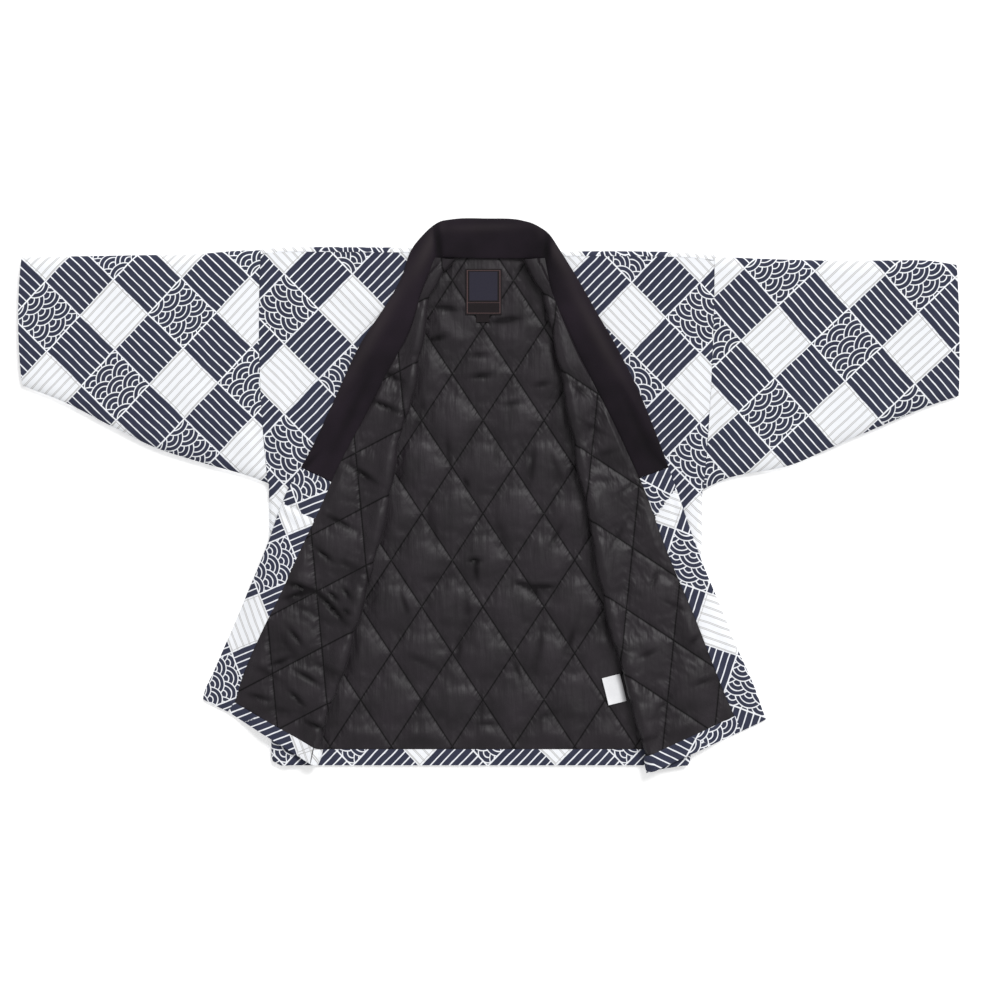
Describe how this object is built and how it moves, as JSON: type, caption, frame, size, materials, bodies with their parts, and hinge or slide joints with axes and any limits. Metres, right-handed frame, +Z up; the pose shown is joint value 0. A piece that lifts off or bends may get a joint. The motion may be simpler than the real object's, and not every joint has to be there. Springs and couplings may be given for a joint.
{
  "type": "hanten",
  "caption": "Padded short kimono-style coat laid flat on its back, both fronts turned open over a quilted lining, with straight tapering sleeves and a long collar band.",
  "frame": {"origin": "middle of the footprint, on the surface the coat lies on", "axes": "+X across the coat towards the sleeve on the viewer's right, +Y from the hem to the collar, +Z up out of the surface"},
  "size_m": [1.3523, 0.796, 0.0287],
  "materials": {
    "print_cotton": "navy and white checks on the bias, stripes and wave scales, matte cotton",
    "quilted_satin": "black satin, stitched in diamonds over wadding",
    "dark_collar_cloth": "matt black brushed cloth",
    "label_weave": "woven label, bare",
    "white_tape": "white satin tape, bare"
  },
  "bodies": {
    "root": {"back_shell": "print_cotton", "back_lining": "quilted_satin", "back_hem_strip": "print_cotton", "collar_cover": "dark_collar_cloth", "neck_label": "label_weave", "size_tab": "label_weave", "care_label": "white_tape", "front_shell_left": "print_cotton", "front_lining_left": "quilted_satin", "front_hem_strip_left": "print_cotton", "collar_band_left": "print_cotton", "sleeve_left": "print_cotton", "front_shell_right": "print_cotton", "front_lining_right": "quilted_satin", "front_hem_strip_right": "print_cotton", "collar_band_right": "print_cotton", "sleeve_right": "print_cotton"}
  },
  "joints": []
}
